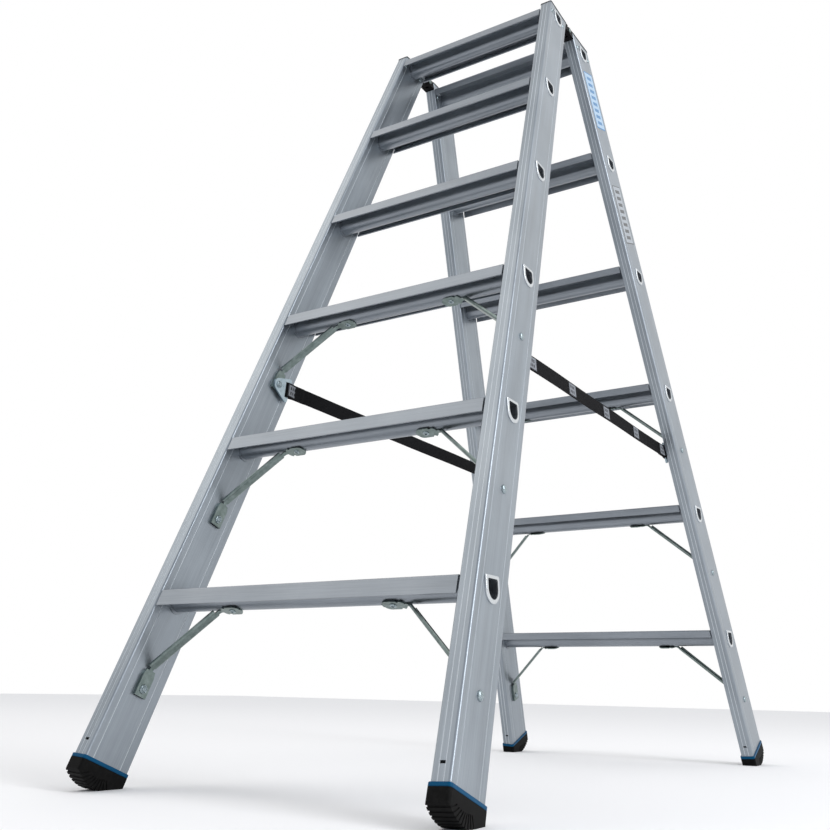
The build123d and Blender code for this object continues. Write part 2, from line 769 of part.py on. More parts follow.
write_groups(hinge_rivets.part, "hinge_rivets")

with BuildPart() as cap:
    with BuildSketch(stile_end):
        RectangleRounded(
            stile_width + 2 * cap_proud, stile_depth + 2 * cap_proud, stile_corner
        )
    extrude(amount=last_tube + tread_pitch)
    split(bisect_by=Plane.XY.offset(top_height), keep=Keep.TOP)
    split(bisect_by=Plane.XY.offset(top_height + cap_thickness), keep=Keep.BOTTOM)
    split(bisect_by=stile_back.offset(leaf_gap), keep=Keep.TOP)
    plug_middle = section_point(stile_centre(hinge_up), top_height / cos(lean), stile_depth / 4)
    with BuildSketch(Plane((plug_middle.X, plug_middle.Y, top_height))):
        Rectangle(stile_width / 2, stile_depth / 4)
    extrude(amount=-cap_plug)

write_corners(cap.part, "stile_cap")

# ---------------------------------------------------------------- stickers
with BuildPart() as labels:
    with BuildSketch(stile_profile.offset(stile_width / 2)):
        for low, high in label_spans:
            with Locations((0, (first_tread + (low + high) / 2) / cos(splay))):
                RectangleRounded(label_width, high - low, 2)
    extrude(amount=label_thickness)
with BuildPart() as rear_labels:
    mirror(labels.part, about=Plane.XZ)
write(rear_labels.part, "rating_labels")

overall = (base_width, 2 * section_foot, top_height + cap_thickness)
print("width over the stiles, spread of the middle lines, height:", [round(v) for v in overall])
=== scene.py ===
# %% [markdown]
# # A double-sided step ladder
#
# The ladder stands open on a pale floor: two sections of flat treads, hinged at the top and held
# apart by two webbing straps. Its frame comes ready made, so this lesson is about finishes, about
# the straps and their sewn marks, and about the small pressed and rolled details of the fittings.

import math

import bpy
from mathutils import Matrix, Vector


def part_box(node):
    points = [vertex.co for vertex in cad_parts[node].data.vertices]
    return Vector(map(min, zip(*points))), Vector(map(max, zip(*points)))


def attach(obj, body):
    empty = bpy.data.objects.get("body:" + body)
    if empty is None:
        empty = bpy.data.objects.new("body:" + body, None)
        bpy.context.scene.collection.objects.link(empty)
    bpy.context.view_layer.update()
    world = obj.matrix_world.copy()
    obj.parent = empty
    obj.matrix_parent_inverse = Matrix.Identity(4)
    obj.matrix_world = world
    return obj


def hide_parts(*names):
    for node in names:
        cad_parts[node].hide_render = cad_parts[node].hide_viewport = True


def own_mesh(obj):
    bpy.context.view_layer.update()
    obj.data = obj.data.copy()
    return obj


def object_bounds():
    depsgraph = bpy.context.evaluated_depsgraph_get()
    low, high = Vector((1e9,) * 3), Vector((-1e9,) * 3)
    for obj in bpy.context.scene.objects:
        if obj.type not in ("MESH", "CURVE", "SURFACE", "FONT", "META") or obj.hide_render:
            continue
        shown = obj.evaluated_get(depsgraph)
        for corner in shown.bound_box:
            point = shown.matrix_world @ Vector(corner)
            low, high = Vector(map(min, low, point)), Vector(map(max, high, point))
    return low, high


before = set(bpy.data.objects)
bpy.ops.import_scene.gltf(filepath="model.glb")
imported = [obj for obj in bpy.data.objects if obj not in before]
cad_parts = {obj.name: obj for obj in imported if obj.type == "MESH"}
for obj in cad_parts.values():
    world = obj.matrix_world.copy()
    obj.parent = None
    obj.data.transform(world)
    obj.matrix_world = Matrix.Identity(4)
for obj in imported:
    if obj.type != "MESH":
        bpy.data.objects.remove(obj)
cad_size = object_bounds()
print("parts in the frame:", len(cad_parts))

# %% [markdown]
# ## Measures
#
# Everything is in metres. The ladder leans and tapers, so patterns and fittings have to know the
# direction of each stile. Two angles and the boxes of a few parts give all of those directions.

# %% The directions of the ladder
lean = math.radians(20.5)
splay = math.radians(3.3)
mm = 0.001


def corner_signs(name):
    """Which side and which section a part belongs to, as signs of X and Y."""
    across = -1 if "left" in name else 1
    along = 1 if name.startswith("rear") else -1
    return across, along


def stile_frame(name):
    """Turns a stile's own axes into the ladder's: across, out of the ladder, and up."""
    across, along = corner_signs(name)
    up = Vector((-across * math.sin(splay), -along * math.cos(splay) * math.sin(lean),
                 math.cos(splay) * math.cos(lean)))
    out = Vector((0, along * math.cos(lean), math.sin(lean)))
    side = out.cross(up)
    return Matrix((side, out, up)).transposed()


def middle(name):
    """Centre of a part's box."""
    low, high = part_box(name)
    return (Vector(low) + Vector(high)) / 2


stile_way = stile_frame("front_right_stile").col[2]
print("front right stile points along:", [round(value, 3) for value in stile_way])

# %% [markdown]
# ## Modelling helpers
#
# An operator works on everything that is selected, and the loaded frame is selected. So each
# piece starts by deselecting, and a finished piece has its place in its mesh and its object at
# the origin, which keeps patterns in Object coordinates where they belong.

# %% Helpers for new pieces
def deselect():
    """Leaves edit mode and clears the selection."""
    if bpy.context.object and bpy.context.object.mode == "EDIT":
        bpy.ops.object.mode_set(mode="OBJECT")
    bpy.ops.object.select_all(action="DESELECT")


def finish_piece(piece, name, body, material, smooth=35):
    """Applies what is left to apply, and hands the piece over."""
    deselect()
    piece.select_set(True)
    bpy.context.view_layer.objects.active = piece
    for modifier in list(piece.modifiers):
        bpy.ops.object.modifier_apply(modifier=modifier.name)
    bpy.ops.object.transform_apply(location=True, rotation=True, scale=True)
    bpy.ops.object.shade_smooth_by_angle(angle=math.radians(smooth))
    piece.name = name
    piece.data.name = name
    piece.data.materials.clear()
    piece.data.materials.append(material)
    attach(piece, body)
    return piece


# %% [markdown]
# ## Floor, light and camera
#
# A ladder of bare metal shows what stands around it. A broad warm lamp, high on the left, brightens
# the front faces, and a tall strip on the right lights the outer faces of the right stiles. The sky
# is white behind the ladder and a cool grey behind the camera, so the faces turned to the camera
# mirror that grey.

# %% Floor
floor_size = 18.0
floor_colour = (0.88, 0.88, 0.89, 1)
floor_roughness = 0.9

deselect()
bpy.ops.mesh.primitive_plane_add(size=floor_size, location=(0, 0, 0))
floor = bpy.context.object
floor.name = "floor"
floor_paint = bpy.data.materials.new("floor_paint")
floor_paint.use_nodes = True
paint_shader = floor_paint.node_tree.nodes["Principled BSDF"]
paint_shader.inputs["Base Color"].default_value = floor_colour
paint_shader.inputs["Roughness"].default_value = floor_roughness
floor.data.materials.append(floor_paint)
print("floor:", floor_size, "m across")

# %% Sky
def direction_ramp(world, towards, stops):
    """Colours the sky by how far it lies towards a direction, from behind (0) to ahead (1)."""
    tree = world.node_tree
    place = tree.nodes.new("ShaderNodeTexCoord")
    dot = tree.nodes.new("ShaderNodeVectorMath")
    dot.operation = "DOT_PRODUCT"
    dot.inputs[1].default_value = Vector(towards).normalized()
    share = tree.nodes.new("ShaderNodeMapRange")
    share.inputs["From Min"].default_value = -1
    ramp = tree.nodes.new("ShaderNodeValToRGB")
    ramp.color_ramp.interpolation = "EASE"
    for element, (at, colour) in zip(ramp.color_ramp.elements, stops):
        element.position = at
        element.color = (*colour, 1)
    tree.links.new(place.outputs["Generated"], dot.inputs[0])
    tree.links.new(dot.outputs["Value"], share.inputs["Value"])
    tree.links.new(share.outputs["Result"], ramp.inputs["Fac"])
    tree.links.new(ramp.outputs["Color"], tree.nodes["Background"].inputs["Color"])


bright_way = (-0.45, 0.85, 0.25)
sky_stops = [(0.2, (0.56, 0.585, 0.63)), (0.7, (1.0, 1.0, 1.0))]

bpy.context.scene.view_settings.view_transform = "Standard"
world = bpy.data.worlds.new("studio")
bpy.context.scene.world = world
world.use_nodes = True
direction_ramp(world, bright_way, sky_stops)
print("sky: brightest towards", bright_way)

# %% Lamps
def area_light(name, place, target, size, power, colour):
    """A rectangular lamp at a place, turned to its target."""
    data = bpy.data.lights.new(name, "AREA")
    data.shape = "RECTANGLE"
    data.size, data.size_y = size
    data.energy = power
    data.color = colour
    lamp = bpy.data.objects.new(name, data)
    bpy.context.scene.collection.objects.link(lamp)
    lamp.location = place
    lamp.rotation_euler = (Vector(target) - Vector(place)).to_track_quat("-Z", "Y").to_euler()
    return lamp


ladder_heart = (cad_size[0] + cad_size[1]) / 2
area_light("warm_key", place=(-2.6, -2.0, 3.6), target=ladder_heart,
           size=(3.2, 3.2), power=30, colour=(1.0, 0.95, 0.88))
area_light("edge_strip", place=(2.9, -0.5, 1.9), target=ladder_heart,
           size=(1.3, 2.8), power=62, colour=(0.97, 0.98, 1.0))
print("lamps point at", [round(value, 2) for value in ladder_heart])

# %% Camera
camera_place = (0.7636, -1.4448, 0.1228)
camera_turn = (113.07, -1.10, 31.64)

camera_data = bpy.data.cameras.new("camera")
camera = bpy.data.objects.new("camera", camera_data)
bpy.context.scene.collection.objects.link(camera)
bpy.context.scene.camera = camera
camera.location = camera_place
camera.rotation_euler = [math.radians(angle) for angle in camera_turn]
camera_data.sensor_width = 36
camera_data.lens = 39.05
camera_data.shift_x = -0.0211
camera_data.shift_y = -0.1301
camera_data.clip_start = 0.01
camera_away = (Vector(camera_place) - Vector(ladder_heart)).length
print("camera:", round(camera_away, 2), "m from the middle of the ladder")

# %% [markdown]
# ## Material helpers
#
# A finish is a small graph of nodes. These helpers place a node and join it in one line, so each
# material below reads as a list of what can be seen on the real surface.

# %% Helpers for materials
class Finish:
    """A material under construction."""

    def __init__(self, name, colour, metallic, roughness):
        self.material = bpy.data.materials.new(name)
        self.material.use_nodes = True
        self.tree = self.material.node_tree
        self.shader = self.tree.nodes["Principled BSDF"]
        self.shader.inputs["Base Color"].default_value = (*colour, 1)
        self.shader.inputs["Metallic"].default_value = metallic
        self.shader.inputs["Roughness"].default_value = roughness

    def node(self, kind, settings=None, **inputs):
        """Adds a node. An input is a value, or the socket that feeds it."""
        node = self.tree.nodes.new(kind)
        for key, value in (settings or {}).items():
            setattr(node, key, value)
        for key, value in inputs.items():
            number = key[2:] if key.startswith("i_") else None
            socket = node.inputs[int(number)] if number else node.inputs[key.replace("_", " ")]
            self.feed(socket, value)
        return node

    def feed(self, socket, value):
        """Sets a socket, or links another one to it."""
        if isinstance(value, bpy.types.NodeSocket):
            self.tree.links.new(value, socket)
        else:
            socket.default_value = value

    def place(self, frame_matrix=None, origin=(0, 0, 0), scale=(1, 1, 1)):
        """Object coordinates, turned into a part's own axes and divided by scale."""
        place = self.node("ShaderNodeTexCoord").outputs["Object"]
        turn = (frame_matrix or Matrix.Identity(3)).to_euler()
        mapping = self.node("ShaderNodeMapping", {"vector_type": "TEXTURE"},
                            Vector=place, Location=origin, Rotation=turn, Scale=scale)
        return mapping.outputs["Vector"]

    def noise(self, where, scale, detail=3.0, roughness=0.55):
        """Cloudy noise from 0 to 1."""
        node = self.node("ShaderNodeTexNoise", None, Vector=where, Scale=scale,
                         Detail=detail, Roughness=roughness)
        return node.outputs["Fac"]

    def spread(self, value, low, high, start=0.0, end=1.0):
        """Maps a value from start..end to low..high."""
        node = self.node("ShaderNodeMapRange", None, Value=value, i_1=start, i_2=end, i_3=low, i_4=high)
        return node.outputs["Result"]

    def ramp(self, value, stops):
        """Colours along a value: a list of (place, (r, g, b))."""
        node = self.node("ShaderNodeValToRGB", None, Fac=value)
        ramp = node.color_ramp
        while len(ramp.elements) < len(stops):
            ramp.elements.new(0.5)
        for element, (at, colour) in zip(ramp.elements, stops):
            element.position = at
            element.color = (*colour, 1)
        return node.outputs["Color"]

    def math(self, operation, first, second=0.0):
        """One step of arithmetic on numbers or sockets."""
        node = self.node("ShaderNodeMath", {"operation": operation}, i_0=first, i_1=second)
        return node.outputs["Value"]

    def blend(self, share, first, second, how="MIX"):
        """The first colour where share is 0, the second where it is 1."""
        node = self.node("ShaderNodeMix", {"data_type": "RGBA", "blend_type": how},
                         i_0=share, i_6=first, i_7=second)
        return node.outputs[2]

    def split(self, vector):
        """X, Y and Z of a vector."""
        node = self.node("ShaderNodeSeparateXYZ", None, Vector=vector)
        return node.outputs["X"], node.outputs["Y"], node.outputs["Z"]

    def bump(self, height, strength, distance):
        """Small relief, without any change of the mesh."""
        node = self.node("ShaderNodeBump", None, Height=height, Strength=strength, Distance=distance)
        self.feed(self.shader.inputs["Normal"], node.outputs["Normal"])

    def colour(self, value):
        """Sets what colours the surface."""
        self.feed(self.shader.inputs["Base Color"], value)

    def roughness(self, value):
        """Sets what dulls the surface."""
        self.feed(self.shader.inputs["Roughness"], value)


def dress(node_name, material):
    """Gives a part of the frame its finish."""
    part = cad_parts[node_name]
    part.data.materials.clear()
    part.data.materials.append(material)


# %% [markdown]
# ## Extruded aluminium
#
# A stile leaves its die with fine lines along its whole length, and it is never polished. Noise
# stretched along the stile gives the lines, and the same noise wears the gloss up and down. Each
# stile leans its own way, so each gets the pattern turned to its own axes.

# %% Aluminium along a direction
cool = (0.325, 0.36, 0.395)


def aluminium(name, frame_matrix, tone):
    """Mill finish with fine lines along the part, as the metal leaves the press."""
    metal = Finish(name, tone, 0.86, 0.36)
    lines = metal.noise(metal.place(frame_matrix, scale=(1, 1, 90)), 900.0, 4.0, 0.6)
    bands = metal.noise(metal.place(frame_matrix, scale=(1, 1, 14)), 60.0, 3.0)
    cloud = metal.noise(metal.place(), 9.0, 4.0)
    light = [min(1.0, 1.16 * c) for c in tone]
    dark = [0.84 * c for c in tone]
    mixed = metal.math("ADD", metal.math("MULTIPLY", lines, 0.5), metal.math("MULTIPLY", bands, 0.5))
    streaks = metal.ramp(mixed, [(0.35, dark), (0.5, tone), (0.66, light)])
    smoke = metal.ramp(cloud, [(0.3, (0.86, 0.87, 0.88)), (0.7, (1.0, 1.0, 1.0))])
    metal.colour(metal.blend(1.0, streaks, smoke, "MULTIPLY"))
    metal.roughness(metal.spread(mixed, 0.28, 0.44, 0.35, 0.65))
    metal.bump(lines, 0.12, 0.0002)
    return metal

def highlight(metal, mask, colour, rough):
    """Paints a painted highlight or painted shade into part of a finish: its own colour and roughness, where
    the mask is 1.
    """
    base = metal.shader.inputs["Base Color"].links[0].from_socket
    metal.colour(metal.blend(mask, base, (*colour, 1)))
    sheen = metal.shader.inputs["Roughness"].links[0].from_socket
    off = metal.math("SUBTRACT", 1.0, mask)
    metal.roughness(metal.math("ADD", metal.math("MULTIPLY", sheen, off),
                               metal.math("MULTIPLY", mask, rough)))


print("mill finish, in the middle of its range:", cool)

# %% [markdown]
# The die leaves two fine lines on every side of a stile. Light catches their edges, so the finish paints
# them brighter than the faces around them, as a painted highlight a little wider than they are cut.
# The tube under each tread is rolled over outside the stile, and the tool polishes that ring; the finish
# also paints the ring brighter, as a painted highlight.

# %% Where a stile's faces are
def stile_faces(name):
    """Lowest and highest reach of a stile across and out, along its own axes."""
    side, out, _ = stile_frame(name).col
    points = [vertex.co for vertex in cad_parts[name].data.vertices]
    across = [side.dot(point) for point in points]
    depth = [out.dot(point) for point in points]
    return min(across), max(across), min(depth), max(depth)


def inside(finish, value, low, high):
    """1 where a value lies between low and high, 0 elsewhere."""
    above = finish.math("GREATER_THAN", value, low)
    return finish.math("MULTIPLY", above, finish.math("LESS_THAN", value, high))


def either(finish, first, second):
    """1 where at least one of two masks is 1."""
    return finish.math("MAXIMUM", first, second)


low_side, high_side, low_out, high_out = stile_faces("front_right_stile")
print("stile:", round((high_side - low_side) / mm, 1), "by", round((high_out - low_out) / mm, 1), "mm")

# %% Stiles with their die lines in painted highlight
broad_lines = (-22.5 * mm, 25.0 * mm)
edge_line = 3.5 * mm
line_reach = 0.6 * mm
wall = 2.0 * mm
# The die lines get a painted highlight: a brighter colour than the faces around them
die_line_painted_highlight = (0.62, 0.66, 0.69)
line_roughness = 0.5


def die_lines(finish, name):
    """1 on the fine lines of a stile."""
    low_side, high_side, low_out, high_out = stile_faces(name)
    across, out, _ = finish.split(finish.place(stile_frame(name)))
    across = finish.math("ABSOLUTE", finish.math("SUBTRACT", across, (low_side + high_side) / 2))
    out = finish.math("SUBTRACT", out, (low_out + high_out) / 2)
    on_broad = finish.math("GREATER_THAN", across, (high_side - low_side) / 2 - wall)
    on_edge = finish.math("GREATER_THAN", finish.math("ABSOLUTE", out), (high_out - low_out) / 2 - wall)
    broad = 0.0
    for line in broad_lines:
        broad = either(finish, inside(finish, out, line - line_reach, line + line_reach), broad)
    edge = inside(finish, across, edge_line - line_reach, edge_line + line_reach)
    return either(finish, finish.math("MULTIPLY", on_broad, broad), finish.math("MULTIPLY", on_edge, edge))


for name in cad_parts:
    if name.endswith("_stile"):
        stile = aluminium(f"{name}_metal", stile_frame(name), cool)
        highlight(stile, die_lines(stile, name), die_line_painted_highlight, line_roughness)
        dress(name, stile.material)
        print(name, "has its die lines")

# %% Treads with their polished rings in painted highlight
tread_axes = Matrix(((0, 0, 1), (0, 1, 0), (-1, 0, 0)))
# The treads' tone is darker than the stiles', as painted shade for their shaded undersides
tread_tone_with_painted_shade = (0.275, 0.3, 0.33)
# The ring's brighter colour is a painted highlight; its lower roughness stands for the real polish
ring_painted_highlight = (0.6, 0.63, 0.65)
polish_roughness = 0.24
past_face = 0.1 * mm

for section in ("front", "rear"):
    tread = aluminium(f"{section}_tread_metal", tread_axes, tread_tone_with_painted_shade)
    stile_name = f"{section}_right_stile"
    axes = stile_frame(stile_name)
    low_side, high_side, _, _ = stile_faces(stile_name)
    x, y, z = tread.split(tread.node("ShaderNodeTexCoord").outputs["Object"])
    folded = tread.node("ShaderNodeCombineXYZ", None, X=tread.math("ABSOLUTE", x), Y=y, Z=z)
    turned = tread.node("ShaderNodeMapping", {"vector_type": "TEXTURE"},
                        Vector=folded.outputs["Vector"], Rotation=axes.to_euler())
    across = tread.split(turned.outputs["Vector"])[0]
    if axes.col[0].x > 0:
        ring = tread.math("GREATER_THAN", across, high_side + past_face)
    else:
        ring = tread.math("LESS_THAN", across, low_side - past_face)
    highlight(tread, ring, ring_painted_highlight, polish_roughness)
    treads = [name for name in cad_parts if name.startswith(f"{section}_tread_")]
    for name in treads:
        dress(name, tread.material)
    print(section, "treads with polished rings:", len(treads))

# %% [markdown]
# ## Fittings
#
# The braces and brackets are pressed steel with a bright zinc skin, a little green and mottled.
# The hinges and caps are black, the collars blue plastic, and the soles black rubber that picks
# up dust. Each is one short graph on noise, because none of them has a pattern with a direction.

# %% Zinc and rivets
zinc = Finish("zinc_plate", (0.36, 0.4, 0.38), 1.0, 0.34)
mottle = zinc.noise(zinc.place(), 130.0, 4.0)
zinc.colour(zinc.ramp(mottle, [(0.3, (0.14, 0.18, 0.17)), (0.55, (0.2, 0.245, 0.235)),
                               (0.8, (0.28, 0.335, 0.325))]))
zinc.roughness(zinc.spread(mottle, 0.24, 0.42))
zinc.bump(mottle, 0.1, 0.0003)

bright_zinc = Finish("bracket_zinc", (0.5, 0.6, 0.64), 1.0, 0.3)
bloom = bright_zinc.noise(bright_zinc.place(), 160.0, 4.0)
bright_zinc.colour(bright_zinc.ramp(bloom, [(0.3, (0.32, 0.41, 0.46)), (0.7, (0.46, 0.55, 0.6))]))
bright_zinc.roughness(bright_zinc.spread(bloom, 0.22, 0.4))
bright_zinc.bump(bloom, 0.08, 0.0003)

rivet = Finish("rivet_metal", (0.5, 0.53, 0.54), 1.0, 0.22)
rivet_wear = rivet.noise(rivet.place(), 700.0, 2.0)
rivet.colour(rivet.ramp(rivet_wear, [(0.3, (0.24, 0.3, 0.32)), (0.7, (0.4, 0.46, 0.48))]))
rivet.roughness(rivet.spread(rivet_wear, 0.2, 0.36))
print("metal finishes:", zinc.material.name, bright_zinc.material.name, rivet.material.name)

# %% Black coating, blue plastic and rubber
black_coat = Finish("black_coat", (0.015, 0.015, 0.017), 0.0, 0.42)
black_coat.shader.inputs["Specular IOR Level"].default_value = 0.04
peel = black_coat.noise(black_coat.place(), 900.0, 2.0)
black_coat.colour(black_coat.ramp(peel, [(0.3, (0.004, 0.004, 0.0045)), (0.8, (0.012, 0.012, 0.013))]))
black_coat.bump(peel, 0.25, 0.0003)

blue = Finish("blue_plastic", (0.001, 0.06, 0.14), 0.0, 0.35)
blue.shader.inputs["Specular IOR Level"].default_value = 0.1
grain = blue.noise(blue.place(), 1500.0, 2.0)
blue.colour(blue.ramp(grain, [(0.3, (0.001, 0.05, 0.12)), (0.8, (0.002, 0.085, 0.19))]))
blue.roughness(blue.spread(grain, 0.3, 0.42))
blue.bump(grain, 0.2, 0.0002)

rubber = Finish("sole_rubber", (0.01, 0.01, 0.01), 0.0, 0.6)
rubber.shader.inputs["Specular IOR Level"].default_value = 0.08
dust = rubber.noise(rubber.place(), 160.0, 5.0, 0.7)
rubber.colour(rubber.ramp(dust, [(0.45, (0.003, 0.003, 0.003)), (0.85, (0.012, 0.0115, 0.011))]))
rubber.roughness(rubber.spread(dust, 0.42, 0.75))
rubber.bump(dust, 0.25, 0.0004)
print("dull finishes:", black_coat.material.name, blue.material.name, rubber.material.name)

# %% The nose of the plug, darkened as painted shade
# It shows in the slot of the stile, so its colour is darkened as painted shade. All four feet share
# the finish, so it is folded over to the front right foot.
nose_above_sole = 6 * mm
nose_painted_shade = (0.004, 0.005, 0.006)
nose_roughness = 0.7

x, y, z = blue.split(blue.node("ShaderNodeTexCoord").outputs["Object"])
corner = blue.node("ShaderNodeCombineXYZ", None, X=blue.math("ABSOLUTE", x),
                   Y=blue.math("MULTIPLY", blue.math("ABSOLUTE", y), -1.0), Z=z)
stile_turn = stile_frame("front_right_stile").to_euler()
along_stile = blue.node("ShaderNodeMapping", {"vector_type": "TEXTURE"},
                        Vector=corner.outputs["Vector"], Rotation=stile_turn)
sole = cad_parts["front_right_foot_sole"]
rim_top = max(stile_way.dot(vertex.co) for vertex in sole.data.vertices) + nose_above_sole
nose = blue.math("GREATER_THAN", blue.split(along_stile.outputs["Vector"])[2], rim_top)
highlight(blue, nose, nose_painted_shade, nose_roughness)
print("noses are darkened from", round(rim_top, 3), "m along the stile")

# %% Dress the fittings
finishes = {
    "_brace_": zinc, "_strap_bracket": bright_zinc, "_hinge_pin": zinc, "_hinge_leaf": black_coat,
    "_stile_cap": black_coat, "_foot_collar": blue, "_foot_sole": rubber,
}
for word, finish in finishes.items():
    fittings = [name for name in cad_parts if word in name]
    for name in fittings:
        dress(name, finish.material)
    print(finish.material.name, "on", len(fittings), "parts")

# %% [markdown]
# ## Stickers
#
# Two plain stickers stay on the rear right stile, without any wording: a pale blue one with a blue
# edge and bars, and a grey one with a thin outline. A few comparisons on the stile's own axes
# draw them, so they stay sharp at any distance and lie square to the stile.

# %% Bars on a sticker
def bars(finish, along, across, starts, length, half_height):
    """Plain bars in a row along a sticker."""
    total = 0.0
    for start in starts:
        bar = finish.math("MULTIPLY", inside(finish, along, start, start + length),
                          inside(finish, across, -half_height, half_height))
        total = either(finish, bar, total)
    return total


# Lengths from the middle between both stickers, along the stile
sticker_start = 64.5 * mm
sticker_end = 192.5 * mm
sticker_half_width = 25 * mm
rim = 2 * mm
first_bar = 74 * mm
bar_pitch = 14.5 * mm
bar_count = 8
bar_length = 7.5 * mm
bar_half_height = 13 * mm
print("bars on a sticker:", bar_count, "in", round((sticker_end - sticker_start) / mm), "mm")

# %% Sticker film
film = Finish("sticker_film", (0.4, 0.55, 0.7), 0.0, 0.3)
on_film = film.place(stile_frame("rear_right_stile"), middle("rating_labels"))
_, film_out, film_up = film.split(on_film)
is_upper = film.math("GREATER_THAN", film_up, 0.0)
from_middle = film.math("ABSOLUTE", film_up)
field = film.math("MULTIPLY", inside(film, from_middle, sticker_start + rim, sticker_end - rim),
                  inside(film, film_out, rim - sticker_half_width, sticker_half_width - rim))
bar_starts = [first_bar + bar_pitch * k for k in range(bar_count)]
printed = bars(film, from_middle, film_out, bar_starts, bar_length, bar_half_height)
upper = film.blend(field, (0.03, 0.17, 0.38, 1), (0.32, 0.45, 0.58, 1))
upper = film.blend(printed, upper, (0.04, 0.17, 0.36, 1))
lower = film.blend(field, (0.05, 0.055, 0.06, 1), (0.30, 0.33, 0.36, 1))
lower = film.blend(printed, lower, (0.06, 0.065, 0.07, 1))
film.colour(film.blend(is_upper, lower, upper))
film_wear = film.noise(film.place(), 500.0, 3.0)
film.roughness(film.spread(film_wear, 0.25, 0.42))
film.bump(film_wear, 0.1, 0.0001)
dress("rating_labels", film.material)
print("stickers dressed:", film.material.name)

# %% [markdown]
# ## Rivets
#
# The braces hang on riveted bolts: a smooth dome outside the stile, a ringed head with a dimple
# inside it. Blind rivets hold the braces to the treads and the hinges to the stiles, and show the
# small hole where their pin broke off. A head is a circle, extruded and scaled ring by ring as on
# a lathe. A copy of the frame's own fasteners, taken apart, tells where each one sits.

# %% Turn a head on the lathe
# Each profile is a list of rings, as radius and height in millimetres
head_sides = 32
dome_head = [(5.8, 0.0), (5.8, 0.7), (5.3, 1.6), (4.3, 2.4), (2.8, 2.9), (1.2, 3.1)]
ring_head = [(5.8, 0.0), (5.8, 0.9), (5.3, 1.7), (4.6, 2.0), (4.0, 1.6), (3.6, 0.9), (3.1, 0.9),
             (2.7, 1.8), (2.1, 2.4), (1.4, 2.4), (0.9, 1.6), (0.4, 1.3)]
blind_head = [(4.6, 0.0), (4.6, 0.5), (4.1, 1.1), (3.1, 1.6), (2.1, 1.8), (1.7, 1.6), (1.5, 0.3), (0.5, 0.1)]


def turn_head(profile, seat, axis):
    """A closed head on its seat, pointing along axis."""
    deselect()
    radius = profile[0][0] * mm
    bpy.ops.mesh.primitive_circle_add(vertices=head_sides, radius=radius, fill_type="NGON")
    head = bpy.context.object
    bpy.ops.object.mode_set(mode="EDIT")
    bpy.ops.mesh.select_all(action="SELECT")
    bpy.ops.mesh.extrude_region_move()
    for (radius, height), (next_radius, next_height) in zip(profile, profile[1:]):
        rise = (next_height - height) * mm
        share = next_radius / radius
        bpy.ops.transform.translate(value=(0, 0, rise))
        bpy.ops.transform.resize(value=(share, share, 1), center_override=(0, 0, 0))
        if (next_radius, next_height) != profile[-1]:
            bpy.ops.mesh.extrude_region_move()
    bpy.ops.mesh.select_all(action="SELECT")
    bpy.ops.mesh.normals_make_consistent(inside=False)
    bpy.ops.object.mode_set(mode="OBJECT")
    head.rotation_euler = Vector(axis).to_track_quat("Z", "Y").to_euler()
    head.location = seat
    return head


print("heads:", [f"{2 * profile[0][0]:.1f} mm" for profile in (dome_head, ring_head, blind_head)])

# %% Where each fastener sits
same_point = 1e-6


def fastener_ends(node_name, axis):
    """Both ends of each fastener of a group, on its own axis."""
    deselect()
    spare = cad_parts[node_name].copy()
    spare.data = spare.data.copy()
    spare.parent = None
    bpy.context.scene.collection.objects.link(spare)
    spare.select_set(True)
    bpy.context.view_layer.objects.active = spare
    bpy.ops.object.mode_set(mode="EDIT")
    bpy.ops.mesh.select_all(action="SELECT")
    bpy.ops.mesh.remove_doubles(threshold=same_point)
    bpy.ops.mesh.separate(type="LOOSE")
    bpy.ops.object.mode_set(mode="OBJECT")
    ends = []
    for single in list(bpy.context.selected_objects):
        across = -1 if sum(v.co.x for v in single.data.vertices) < 0 else 1
        line = Vector((axis[0] * across, axis[1], axis[2]))
        centre = sum((v.co for v in single.data.vertices), Vector()) / len(single.data.vertices)
        reach = [(v.co - centre).dot(line) for v in single.data.vertices]
        ends.append((centre + line * min(reach), centre + line * max(reach), line))
        bpy.data.objects.remove(single)
    return sorted(ends, key=lambda end: tuple(end[0]))


def join(pieces):
    """Makes one object of several."""
    deselect()
    for piece in pieces:
        piece.select_set(True)
    bpy.context.view_layer.objects.active = pieces[0]
    bpy.ops.object.transform_apply(location=True, rotation=True, scale=True)
    bpy.ops.object.join()
    return bpy.context.object


# %% Rivet every brace and hinge
bolt_seat = 3.0 * mm
rivet_seat = 1.8 * mm

for end in ("front", "rear"):
    body = f"{end}_section"
    along = 1 if end == "rear" else -1
    side = stile_frame(f"{end}_right_stile").col[0]
    side = side if side.x > 0 else -side
    upright = Vector((0, -along * math.sin(lean), math.cos(lean)))
    groups = {
        "brace_bolts": (side, ring_head, dome_head, bolt_seat),
        "hinge_rivets": (side, blind_head, blind_head, rivet_seat),
        "brace_rivets": (upright, blind_head, None, rivet_seat),
    }
    for group, (axis, low_head, high_head, seat) in groups.items():
        heads = []
        for low, high, line in fastener_ends(f"{end}_{group}", axis):
            heads.append(turn_head(low_head, low + line * seat, -line))
            if high_head:
                heads.append(turn_head(high_head, high - line * seat, line))
        heads = finish_piece(join(heads), f"{end}_{group}_heads", body, rivet.material)
        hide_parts(f"{end}_{group}")
        print(heads.name, "faces:", len(heads.data.polygons))

# %% [markdown]
# ## Straps
#
# A strap is one length of black webbing that goes round a bar of the bracket at each end and is
# sewn back on itself. A flat strap is best modelled directly: a narrow strip is extruded along its
# path, row by row, and then given its thickness. Its UV map runs in metres along and across the
# webbing, so the weave follows it round the loops.

# %% The path of a strap
webbing_width = 25 * mm
webbing_thickness = 1.5 * mm
strap_tilt = math.atan(math.tan(splay) * math.cos(lean))
loop_radius = 3.1 * mm
layer = 0.85 * mm
turn_steps = 8
main_steps = 30
slack = 0.5 * mm
slack_waves = 7.3

# Where the webbing runs beside its loop: distance from the strap's end, and out of its middle
fold = [(46 * mm, layer), (38 * mm, layer), (22 * mm, layer), (17 * mm, 1.6 * layer), (12 * mm, 3 * layer)]
fold_length = fold[0][0]
fold_step = 8 * mm


